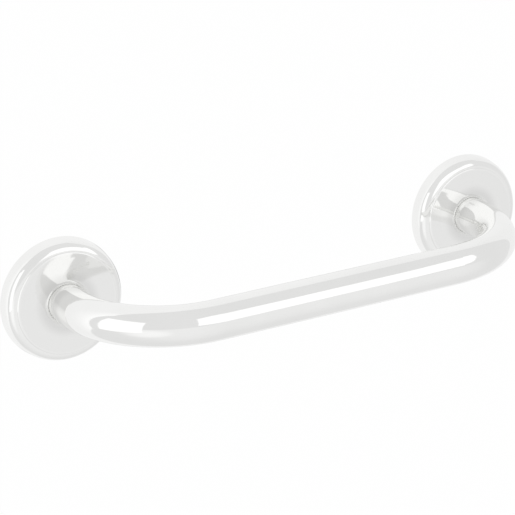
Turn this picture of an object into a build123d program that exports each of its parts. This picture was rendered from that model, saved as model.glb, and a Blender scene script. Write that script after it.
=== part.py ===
from build123d import *
import os

# Grab bar for the wall of a shower or bath: a bent tube between two turned rosettes.
# Each rosette slips over a wall bracket and is locked to it by a set screw from below.
# Millimetres. X runs along the bar, the wall is the plane Y = 0, the bar stands out along -Y, Z is up.
# The origin lies on the wall, midway between the rosettes.

# Bar
fixing_centres = 304.8  # middle of one rosette to the middle of the other, 12 in
projection = 101.6  # wall to the front of the bar, 4 in
tube_diameter = 25.4
tube_wall = 1.5
bend_radius = 65.0  # to the middle line of the tube

# Rosette, outside: a rounded rim, a domed bead, a thin ring and a face that rolls in to the tube
rosette_diameter = 81.0
back_edge = 0.4  # small bevel where the rim meets the wall
side_height = 5.0  # wall to the start of the rounded shoulder
side_taper = 0.6  # how far the side draws in over that height
rim_height = 9.8  # wall to the foot of the bead
rim_width = 2.4  # outside of the rim to the foot of the bead
bead_width = 4.0
bead_rise = 2.2
bead_bulge = 0.45  # how far its side stands out from straight
bead_ledge = 0.2
ring_width = 1.0
ring_rise = 1.15
face_rise = 0.35  # from the ring to the middle, nearly flat
mouth_width = 3.1  # where the face rolls in to the tube
mouth_depth = 1.3

# Rosette, behind: a socket for the tube end inside a boss, and a hollow for the bracket
braze_gap = 0.05  # all round the tube in its socket
seat_height = 4.0  # wall to the shoulder that the tube end stands on
boss_wall = 3.25
boss_clearance = 1.0  # boss end to the wall
rim_wall = 5.0
hollow_depth = 9.0
hollow_bevel = 1.0

# Wall bracket, a bevelled ring that the boss plugs into
bracket_thickness = 6.0
bracket_clearance = 1.5  # all round, inside the hollow
bracket_land = 1.5  # upright part of the edge, at the front
bracket_bevel = 2.25  # how far the edge draws in towards the wall
spigot_clearance = 0.25  # all round the boss in the ring
screw_hole = 5.5
screw_head = 10.5
screw_head_angle = 90.0

# Set screw in the underside of the rim
set_screw_diameter = 4.0
set_screw_height = 2.9  # wall to its axis
set_screw_recess = 0.6  # below the surface of the rim
set_screw_tip = 1.0  # bevel round the point
set_screw_key = 2.0  # across the flats of its socket
set_screw_key_depth = 2.0
thread_clearance = 0.05
point_clearance = 0.05

# Sizes that follow from these
bar_axis = projection - tube_diameter / 2
half_centres = fixing_centres / 2
rim_radius = rosette_diameter / 2
bead_radius = rim_radius - rim_width
bead_height = rim_height + bead_rise
ring_radius = bead_radius - bead_width - bead_ledge
ring_height = bead_height + ring_rise
face_height = ring_height + face_rise
socket_radius = tube_diameter / 2 + braze_gap
shoulder_radius = tube_diameter / 2 - tube_wall
mouth_radius = socket_radius + mouth_width
boss_radius = socket_radius + boss_wall
hollow_radius = rim_radius - rim_wall
bracket_front_radius = hollow_radius - bracket_clearance
bracket_back_radius = bracket_front_radius - bracket_bevel
bracket_bore_radius = boss_radius + spigot_clearance
screws_apart = bracket_bore_radius + bracket_back_radius  # midway between bore and edge, above and below
bevel_height = bracket_thickness - bracket_land
bevel_slope = bracket_bevel / bevel_height
point_radius = set_screw_diameter / 2 - set_screw_tip
point_reach = bracket_back_radius + (set_screw_height + point_radius) * bevel_slope + point_clearance
side_slope = side_taper / (side_height - back_edge)
set_screw_end = rim_radius - (set_screw_height - back_edge) * side_slope - set_screw_recess
set_screw_length = set_screw_end - point_reach

os.makedirs("parts", exist_ok=True)

# Bar: one tube, bent twice, its ends standing in the sockets
with BuildPart() as bar_tube:
    with BuildLine() as middle_line:
        FilletPolyline(
            (-half_centres, -seat_height),
            (-half_centres, -bar_axis),
            (half_centres, -bar_axis),
            (half_centres, -seat_height),
            radius=bend_radius,
        )
    with BuildSketch(Plane(middle_line.line @ 0, z_dir=middle_line.line % 0)):
        Circle(tube_diameter / 2)
        Circle(tube_diameter / 2 - tube_wall, mode=Mode.SUBTRACT)
    sweep(path=middle_line.line)
bar_tube.part.label = "bar_tube"
export_step(bar_tube.part, "parts/bar_tube.step")

for side, middle in (("left", -half_centres), ("right", half_centres)):
    # Profiles are drawn with x as the radius and y as the height above the wall
    profile_plane = Plane(origin=(middle, 0, 0), x_dir=(1, 0, 0), z_dir=(0, 0, -1))
    turning_axis = Axis((middle, 0, 0), (0, -1, 0))
    rim_underside = Plane(origin=(middle, -set_screw_height, -rim_radius), z_dir=(0, 0, -1))

    # Rosette: turned in one piece, with the hole for its set screw
    with BuildPart() as rosette:
        with BuildSketch(profile_plane):
            with BuildLine():
                back = Line((rim_radius - back_edge, 0), (rim_radius, back_edge))
                upright = Line(back @ 1, (rim_radius - side_taper, side_height))
                shoulder = TangentArc(upright @ 1, (bead_radius, rim_height), tangent=upright % 1)
                bead = SagittaArc(shoulder @ 1, (bead_radius - bead_width, bead_height), -bead_bulge)
                ledge = Line(bead @ 1, (ring_radius, bead_height))
                ring = EllipticalCenterArc(
                    (ring_radius - ring_width, bead_height), ring_width, ring_rise, start_angle=0, arc_size=90
                )
                face = Line(ring @ 1, (mouth_radius, face_height))
                mouth = TangentArc(face @ 1, (socket_radius, face_height - mouth_depth), tangent=face % 1)
                Polyline(
                    mouth @ 1,
                    (socket_radius, seat_height),
                    (shoulder_radius, seat_height),
                    (shoulder_radius, boss_clearance),
                    (boss_radius, boss_clearance),
                    (boss_radius, hollow_depth),
                    (hollow_radius - hollow_bevel, hollow_depth),
                    (hollow_radius, hollow_depth - hollow_bevel),
                    (hollow_radius, 0),
                    back @ 0,
                )
            make_face()
        revolve(axis=turning_axis)
        with Locations(rim_underside):
            Hole(set_screw_diameter / 2 + thread_clearance, depth=rim_radius - bracket_front_radius)
    rosette.part.label = side + "_rosette"
    export_step(rosette.part, f"parts/{side}_rosette.step")

    # Wall bracket: its edge draws in towards the wall, so the set screw pulls the rosette tight
    with BuildPart() as wall_bracket:
        with BuildSketch(profile_plane):
            with BuildLine():
                Polyline(
                    (bracket_bore_radius, 0),
                    (bracket_back_radius, 0),
                    (bracket_front_radius, bevel_height),
                    (bracket_front_radius, bracket_thickness),
                    (bracket_bore_radius, bracket_thickness),
                    close=True,
                )
            make_face()
        revolve(axis=turning_axis)
        for screw_z in (screws_apart / 2, -screws_apart / 2):
            with Locations(Plane(origin=(middle, -bracket_thickness, screw_z), z_dir=(0, -1, 0))):
                CounterSinkHole(
                    screw_hole / 2, screw_head / 2, depth=bracket_thickness, counter_sink_angle=screw_head_angle
                )
    wall_bracket.part.label = side + "_wall_bracket"
    export_step(wall_bracket.part, f"parts/{side}_wall_bracket.step")

    # Set screw: headless, with a key socket outside and a bevelled point on the bracket's edge
    screw_end = Plane(origin=(middle, -set_screw_height, -set_screw_end), z_dir=(0, 0, 1))
    with BuildPart() as set_screw:
        with BuildSketch(screw_end):
            Circle(set_screw_diameter / 2)
        extrude(amount=set_screw_length)
        chamfer(set_screw.edges().sort_by(Axis.Z)[-1], set_screw_tip)
        with BuildSketch(screw_end):
            RegularPolygon(set_screw_key / 2, 6, major_radius=False)
        extrude(amount=set_screw_key_depth, mode=Mode.SUBTRACT)
    set_screw.part.label = side + "_set_screw"
    export_step(set_screw.part, f"parts/{side}_set_screw.step")
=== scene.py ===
import math
import bpy
from mathutils import Matrix, Vector


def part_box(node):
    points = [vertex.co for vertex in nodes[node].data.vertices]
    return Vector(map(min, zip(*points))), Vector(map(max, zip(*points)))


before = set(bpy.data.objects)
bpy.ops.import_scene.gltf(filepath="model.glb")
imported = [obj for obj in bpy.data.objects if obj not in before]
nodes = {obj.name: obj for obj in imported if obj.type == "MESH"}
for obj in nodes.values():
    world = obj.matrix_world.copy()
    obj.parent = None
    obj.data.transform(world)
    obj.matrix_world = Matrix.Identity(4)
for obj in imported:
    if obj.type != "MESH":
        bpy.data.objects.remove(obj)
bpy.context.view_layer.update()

scene = bpy.context.scene
mm = 0.001
print("frame loaded:", sorted(nodes))


def linear(hexColour):
    # sRGB hex to the linear values that Blender's colour sockets take
    channels = [int(hexColour[i:i + 2], 16) / 255 for i in (0, 2, 4)]
    made = [c / 12.92 if c <= 0.04045 else ((c + 0.055) / 1.055) ** 2.4 for c in channels]
    return (*made, 1.0)


def addNode(tree, kind, settings=None, values=None, links=None, stops=()):
    # settings are the node's own properties, values fill sockets, links join other nodes' outputs to sockets,
    # and stops are a colour ramp's pairs of place and hex colour
    node = tree.nodes.new(kind)
    for name, value in (settings or {}).items():
        setattr(node, name, value)
    for socket, value in (values or {}).items():
        node.inputs[socket].default_value = value
    for socket, output in (links or {}).items():
        tree.links.new(output, node.inputs[socket])
    for number, (place, colour) in enumerate(stops):
        node.color_ramp.elements[number].position = place
        node.color_ramp.elements[number].color = linear(colour)
    return node


def newMaterial(name):
    material = bpy.data.materials.new(name)
    material.use_nodes = True
    material.node_tree.nodes.clear()
    return material, material.node_tree


def perMetre(sizeMm):
    # texture scale that gives features of this size
    return 1 / (sizeMm * mm)


# Brass tube and rosettes, buffed and chromium plated: a bright neutral mirror,
# with a trace of haze from wiping and a very slight unevenness from the buffing wheel.
# A rosette's face carries painted shade, a little greyer and more so near the tube, and its mouth mirrors
# less sharply
chrome = {
    "bright": "F9F9F8", "dull": "F6F6F5", "cloudSize": 34, "cloudDetail": 2,
    "hazeSize": 11, "hazeDetail": 5, "roughLow": 0.05, "roughHigh": 0.09,
    "noiseLow": 0.35, "noiseHigh": 0.75,  # the part of the noise that the clouds and the haze use
    "waveSize": 9, "waveDetail": 1, "waveDepth": 0.0006,
    "mouthStart": 0.5, "mouthEnd": 3, "mouthRough": 0.25,  # millimetres out from the tube
    "paintedRootShades": [(20.5, 19, "F4F4F3"), (10.5, 3, "E6E6E5")],  # painted shade towards the tube: where each starts, where it is full, its colour
    "mirrorBounces": 12,  # for the mirror images in mirror images where the tube leaves a rosette
}


def rosetteRootShadeAndBlur(tree, place, colour, blur):
    # paints shade on the face near the tube and softens the mouth's mirror; works from a point's distance to
    # the rosette's axis; the rosettes are alike, so the sign of X is dropped
    c = chrome
    low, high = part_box("right_rosette")
    axis = (low[0] + high[0]) / 2
    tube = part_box("bar_tube")
    root = (tube[1][2] - tube[0][2]) / 2
    spot = addNode(tree, "ShaderNodeSeparateXYZ", links={"Vector": place})
    side = addNode(tree, "ShaderNodeMath", settings={"operation": "ABSOLUTE"}, links={0: spot.outputs["X"]})
    off = addNode(tree, "ShaderNodeMath", settings={"operation": "SUBTRACT"}, values={1: axis},
                  links={0: side.outputs[0]})
    flat = addNode(tree, "ShaderNodeCombineXYZ", links={"X": off.outputs[0], "Z": spot.outputs["Z"]})
    away = addNode(tree, "ShaderNodeVectorMath", settings={"operation": "LENGTH"},
                   links={0: flat.outputs[0]}).outputs["Value"]
    out = addNode(tree, "ShaderNodeMapRange", settings={"interpolation_type": "SMOOTHSTEP"},
                  values={"From Min": root + c["mouthStart"] * mm, "From Max": root + c["mouthEnd"] * mm},
                  links={"Value": away}).outputs["Result"]
    # painted shade: the face is greyed in steps towards the tube, fading out again in the mouth
    for start, full, shade in c["paintedRootShades"]:
        near = addNode(tree, "ShaderNodeMapRange", settings={"interpolation_type": "SMOOTHSTEP"},
                       values={"From Min": root + start * mm, "From Max": root + full * mm},
                       links={"Value": away}).outputs["Result"]
        near = addNode(tree, "ShaderNodeMath", settings={"operation": "MULTIPLY"},
                       links={0: near, 1: out}).outputs[0]
        # a colour mix has its share on socket 0, its colours on 6 and 7 and its result on output 2
        colour = addNode(tree, "ShaderNodeMix", settings={"data_type": "RGBA"}, values={7: linear(shade)},
                         links={0: near, 6: colour}).outputs[2]
    blur = addNode(tree, "ShaderNodeMapRange", values={"To Min": c["mouthRough"]},
                   links={"Value": out, "To Max": blur}).outputs["Result"]
    return colour, blur


def polishedChrome(name, atRoot):
    c = chrome
    material, tree = newMaterial(name)
    place = addNode(tree, "ShaderNodeTexCoord").outputs["Object"]
    cloud = addNode(tree, "ShaderNodeTexNoise",
                    values={"Scale": perMetre(c["cloudSize"]), "Detail": c["cloudDetail"]},
                    links={"Vector": place})
    tint = addNode(tree, "ShaderNodeValToRGB", links={"Fac": cloud.outputs["Fac"]},
                   stops=[(c["noiseLow"], c["bright"]), (c["noiseHigh"], c["dull"])])
    haze = addNode(tree, "ShaderNodeTexNoise",
                   values={"Scale": perMetre(c["hazeSize"]), "Detail": c["hazeDetail"]},
                   links={"Vector": place})
    rough = addNode(tree, "ShaderNodeMapRange",
                    values={"From Min": c["noiseLow"], "From Max": c["noiseHigh"],
                            "To Min": c["roughLow"], "To Max": c["roughHigh"]},
                    links={"Value": haze.outputs["Fac"]})
    wave = addNode(tree, "ShaderNodeTexNoise",
                   values={"Scale": perMetre(c["waveSize"]), "Detail": c["waveDetail"]},
                   links={"Vector": place})
    bump = addNode(tree, "ShaderNodeBump", values={"Strength": 1.0, "Distance": c["waveDepth"] * mm},
                   links={"Height": wave.outputs["Fac"]})
    colour, blur = tint.outputs["Color"], rough.outputs["Result"]
    if atRoot:
        colour, blur = rosetteRootShadeAndBlur(tree, place, colour, blur)
    shader = addNode(tree, "ShaderNodeBsdfPrincipled", values={"Metallic": 1.0},
                     links={"Base Color": colour, "Roughness": blur, "Normal": bump.outputs["Normal"]})
    addNode(tree, "ShaderNodeOutputMaterial", links={"Surface": shader.outputs["BSDF"]})
    return material


# Wall brackets, pressed steel under bright zinc: a cool satin grey, mottled by the zinc's crystals.
# The crystals are drawn larger than in thin plating, so that they show
zinc = {
    "light": "C9CDD0", "dark": "A9AEB3", "lightStop": 0.1, "darkStop": 0.9, "crystalSize": 2.2,
    "roughLow": 0.3, "roughHigh": 0.5, "grainSize": 0.9, "grainDetail": 3, "grainDepth": 0.01,
}


def zincPlatedSteel():
    c = zinc
    material, tree = newMaterial("zincPlatedSteel")
    place = addNode(tree, "ShaderNodeTexCoord").outputs["Object"]
    crystal = addNode(tree, "ShaderNodeTexVoronoi", values={"Scale": perMetre(c["crystalSize"])},
                      links={"Vector": place})
    single = addNode(tree, "ShaderNodeSeparateColor", links={"Color": crystal.outputs["Color"]})
    tint = addNode(tree, "ShaderNodeValToRGB", links={"Fac": single.outputs["Red"]},
                   stops=[(c["lightStop"], c["light"]), (c["darkStop"], c["dark"])])
    rough = addNode(tree, "ShaderNodeMapRange", values={"To Min": c["roughLow"], "To Max": c["roughHigh"]},
                    links={"Value": single.outputs["Green"]})
    grain = addNode(tree, "ShaderNodeTexNoise",
                    values={"Scale": perMetre(c["grainSize"]), "Detail": c["grainDetail"]},
                    links={"Vector": place})
    bump = addNode(tree, "ShaderNodeBump", values={"Strength": 1.0, "Distance": c["grainDepth"] * mm},
                   links={"Height": grain.outputs["Fac"]})
    shader = addNode(tree, "ShaderNodeBsdfPrincipled", values={"Metallic": 1.0},
                     links={"Base Color": tint.outputs["Color"], "Roughness": rough.outputs["Result"],
                            "Normal": bump.outputs["Normal"]})
    addNode(tree, "ShaderNodeOutputMaterial", links={"Surface": shader.outputs["BSDF"]})
    return material


# Set screws, turned stainless steel: a warmer grey with rings round the screw's axis.
# The rings are drawn further apart than a lathe leaves them, so that they show
stainless = {
    "light": "C6C5C2", "dark": "A6A5A1", "lightStop": 0.2, "darkStop": 0.9,
    "roughLow": 0.22, "roughHigh": 0.36,
    "ringSpacing": 1.2, "ringDepth": 0.012, "ringWander": 0.6, "ringDetail": 2,
    "waveTurn": 20,  # radians that Blender's wave texture turns through in a metre at a scale of 1
}


def turnedStainless():
    c = stainless
    material, tree = newMaterial("turnedStainlessSteel")
    place = addNode(tree, "ShaderNodeTexCoord").outputs["Object"]
    ring = addNode(tree, "ShaderNodeTexWave",
                   settings={"wave_type": "BANDS", "bands_direction": "Z"},
                   values={"Scale": perMetre(c["ringSpacing"]) * math.tau / c["waveTurn"],
                           "Distortion": c["ringWander"], "Detail": c["ringDetail"]},
                   links={"Vector": place})
    tint = addNode(tree, "ShaderNodeValToRGB", links={"Fac": ring.outputs["Fac"]},
                   stops=[(c["lightStop"], c["light"]), (c["darkStop"], c["dark"])])
    rough = addNode(tree, "ShaderNodeMapRange", values={"To Min": c["roughLow"], "To Max": c["roughHigh"]},
                    links={"Value": ring.outputs["Fac"]})
    bump = addNode(tree, "ShaderNodeBump", values={"Strength": 1.0, "Distance": c["ringDepth"] * mm},
                   links={"Height": ring.outputs["Fac"]})
    shader = addNode(tree, "ShaderNodeBsdfPrincipled", values={"Metallic": 1.0},
                     links={"Base Color": tint.outputs["Color"], "Roughness": rough.outputs["Result"],
                            "Normal": bump.outputs["Normal"]})
    addNode(tree, "ShaderNodeOutputMaterial", links={"Surface": shader.outputs["BSDF"]})
    return material


finishes = {
    "tube": polishedChrome("polishedChromeTube", False),
    "rosette": polishedChrome("polishedChromeRosette", True),
    "bracket": zincPlatedSteel(),
    "screw": turnedStainless(),
}
for name, node in nodes.items():
    piece = name.split("_")[-1]
    node.data.materials.clear()
    node.data.materials.append(finishes[piece])
scene.cycles.glossy_bounces = chrome["mirrorBounces"]
print("finishes given:", sorted(m.name for m in finishes.values()))


def direction(azimuth, elevation):
    # degrees; azimuth 0 is out into the room, positive to +X
    a, e = math.radians(azimuth), math.radians(elevation)
    return Vector((math.sin(a) * math.cos(e), -math.cos(a) * math.cos(e), math.sin(e)))


def stageSheet(name, corners, material):
    mesh = bpy.data.meshes.new(name)
    mesh.from_pydata([tuple(p) for p in corners], [], [tuple(range(len(corners)))])
    sheet = bpy.data.objects.new(name, mesh)
    scene.collection.objects.link(sheet)
    mesh.materials.append(material)
    return sheet


# Two panels of glowing cloth that the chrome mirrors as white shapes, hidden from the camera.
# Corners are directions from the aim, and each panel is flat and square to its middle ray. Metres
panelAim = Vector((0, -0.05, 0))
panels = {
    "keyPanel": {
        "corners": [(-8, 8), (18, 3), (32, 4), (47, 12), (55, 23), (60, 36),
                    (54, 39), (42, 36), (28, 40), (18, 45), (8, 46), (-8, 42)],
        "distance": 0.6, "strength": 1.1,
    },
    "sidePanel": {
        "corners": [(-93, -16), (-53, -14), (-53, 37), (-93, 37)],
        "distance": 1.5, "strength": 1.1,
    },
}
for name, p in panels.items():
    material, tree = newMaterial(name + "Cloth")
    light = addNode(tree, "ShaderNodeEmission", values={"Strength": p["strength"]})
    addNode(tree, "ShaderNodeOutputMaterial", links={"Surface": light.outputs["Emission"]})
    rays = [direction(*corner) for corner in p["corners"]]
    middle = sum(rays, Vector()).normalized()
    corners = [panelAim + ray * (p["distance"] / ray.dot(middle)) for ray in rays]
    sheet = stageSheet(name, corners, material)
    sheet.visible_camera = False
print("panels set:", sorted(panels))


# White wall behind, hidden from the camera, brighter far to the left and duller to the right. Metres.
# A soft grey patch low on its right gives the metal depth from the sides and the back
backWall = {
    "y": 0.45, "bottom": -0.95, "top": [(2.85, 1.5), (0.3, 2.0), (-2.3, 3.2)],  # x and z along its upper edge
    "strength": 0.938,
    "leftFade": (-0.7, -1.9), "leftStrength": 1.048,
    "rightFade": (0.0, 1.2), "rightLoss": 0.04,
    "patchMiddle": (0.26, 0.45, -0.24), "patchReach": (0.45, 1, 0.26), "patchCore": 0.2, "patchLevel": 0.5,
}
b = backWall
material, tree = newMaterial("backWallPaint")
place = addNode(tree, "ShaderNodeTexCoord").outputs["Object"]
across = addNode(tree, "ShaderNodeSeparateXYZ", links={"Vector": place}).outputs["X"]
leftPart = addNode(tree, "ShaderNodeMapRange",
                   values={"From Min": b["leftFade"][0], "From Max": b["leftFade"][1],
                           "To Min": b["strength"], "To Max": b["leftStrength"]},
                   links={"Value": across}).outputs["Result"]
rightPart = addNode(tree, "ShaderNodeMapRange",
                    values={"From Min": b["rightFade"][0], "From Max": b["rightFade"][1],
                            "To Max": b["rightLoss"]},
                    links={"Value": across}).outputs["Result"]
level = addNode(tree, "ShaderNodeMath", settings={"operation": "SUBTRACT"},
                links={0: leftPart, 1: rightPart}).outputs[0]
off = addNode(tree, "ShaderNodeVectorMath", settings={"operation": "SUBTRACT"}, values={1: b["patchMiddle"]},
              links={0: place}).outputs["Vector"]
share = addNode(tree, "ShaderNodeVectorMath", settings={"operation": "DIVIDE"}, values={1: b["patchReach"]},
                links={0: off}).outputs["Vector"]
away = addNode(tree, "ShaderNodeVectorMath", settings={"operation": "LENGTH"},
               links={0: share}).outputs["Value"]
patch = addNode(tree, "ShaderNodeMapRange", settings={"interpolation_type": "SMOOTHSTEP"},
                values={"From Min": b["patchCore"], "To Min": b["patchLevel"]},
                links={"Value": away}).outputs["Result"]
level = addNode(tree, "ShaderNodeMath", settings={"operation": "MULTIPLY"},
                links={0: level, 1: patch}).outputs[0]
light = addNode(tree, "ShaderNodeEmission", links={"Strength": level})
addNode(tree, "ShaderNodeOutputMaterial", links={"Surface": light.outputs["Emission"]})
outline = [(b["top"][-1][0], b["bottom"]), (b["top"][0][0], b["bottom"]), *b["top"]]
sheet = stageSheet("backWall", [(x, b["y"], z) for x, z in outline], material)
sheet.visible_camera = False
print("back wall set")


# Painted studio floor, well below the bar: nearly pure white to the camera, with a trace of the paint,
# which takes the bar's soft shadow. The chrome doesn't mirror it. Metres
studioFloor = {"drop": 0.62, "size": 30, "colour": "F6F6F5", "whiteShare": 0.985}
f = studioFloor
material, tree = newMaterial("paintedFloor")
path = addNode(tree, "ShaderNodeLightPath")
seen = addNode(tree, "ShaderNodeMath", settings={"operation": "MULTIPLY"}, values={1: f["whiteShare"]},
               links={0: path.outputs["Is Camera Ray"]})
paint = addNode(tree, "ShaderNodeBsdfDiffuse", values={"Color": linear(f["colour"])})
white = addNode(tree, "ShaderNodeEmission")
mixed = addNode(tree, "ShaderNodeMixShader",
                links={0: seen.outputs[0], 1: paint.outputs["BSDF"], 2: white.outputs["Emission"]})
addNode(tree, "ShaderNodeOutputMaterial", links={"Surface": mixed.outputs["Shader"]})
half, low = f["size"] / 2, -f["drop"]
corners = [(-half, -half, low), (half, -half, low), (half, half, low), (-half, half, low)]
sheet = stageSheet("studioFloor", corners, material)
sheet.visible_glossy = False
print("floor set")


# Surround: white where the camera sees it, pale grey in the metal, with two soft glows low in front.
# A glow has a direction, a spread in degrees and what it adds. Both die out from glowFull up to glowTop
surround = {
    "level": 0.80, "glows": [((-48, -21), 27, 0.125), ((-9, -10), 81, 0.084)],
    "glowFull": 0.6, "glowTop": 5.6,
}
world = bpy.data.worlds.new("studioSurround")
scene.world = world
world.use_nodes = True
tree = world.node_tree
tree.nodes.clear()
ray = addNode(tree, "ShaderNodeTexCoord").outputs["Generated"]
height = addNode(tree, "ShaderNodeSeparateXYZ", links={"Vector": ray}).outputs["Z"]
full, top = (math.sin(math.radians(surround[edge])) for edge in ("glowFull", "glowTop"))
under = addNode(tree, "ShaderNodeMapRange", settings={"interpolation_type": "SMOOTHSTEP"},
                values={"From Min": top, "From Max": full}, links={"Value": height}).outputs["Result"]
glows = []
for where, spread, extra in surround["glows"]:
    toward = addNode(tree, "ShaderNodeVectorMath", settings={"operation": "DOT_PRODUCT"},
                     values={1: direction(*where)}, links={0: ray}).outputs["Value"]
    glow = addNode(tree, "ShaderNodeMapRange", settings={"interpolation_type": "SMOOTHSTEP"},
                   values={"From Min": math.cos(math.radians(spread)), "From Max": 1.0, "To Max": extra},
                   links={"Value": toward})
    glows.append(glow.outputs["Result"])
both = addNode(tree, "ShaderNodeMath", links={0: glows[0], 1: glows[1]}).outputs[0]
level = addNode(tree, "ShaderNodeMath", settings={"operation": "MULTIPLY_ADD"}, values={2: surround["level"]},
                links={0: both, 1: under}).outputs[0]
path = addNode(tree, "ShaderNodeLightPath")
shown = addNode(tree, "ShaderNodeMix", values={"B": 1.0},
                links={"Factor": path.outputs["Is Camera Ray"], "A": level}).outputs["Result"]
backdrop = addNode(tree, "ShaderNodeBackground", values={"Color": (1, 1, 1, 1)}, links={"Strength": shown})
addNode(tree, "ShaderNodeOutputWorld", links={"Surface": backdrop.outputs["Background"]})
scene.view_settings.view_transform = "Standard"
print("surround set")


# Camera at the photograph's place: its spot in metres, its own right and up directions, and the lens
view = {
    "place": (-0.6089, -1.1157, 0.4578), "right": (0.8751, -0.4830, -0.0313), "up": (0.1908, 0.2848, 0.9394),
    "lens": 141.94, "sensor": 36,
}
right = Vector(view["right"]).normalized()
up = Vector(view["up"])
up = (up - right * up.dot(right)).normalized()
back = right.cross(up)
cameraData = bpy.data.cameras.new("photoCamera")
cameraData.lens = view["lens"]
cameraData.sensor_width = view["sensor"]
camera = bpy.data.objects.new("photoCamera", cameraData)
scene.collection.objects.link(camera)
camera.matrix_world = Matrix.Translation(view["place"]) @ Matrix((right, up, back)).transposed().to_4x4()
scene.camera = camera
print("camera set")
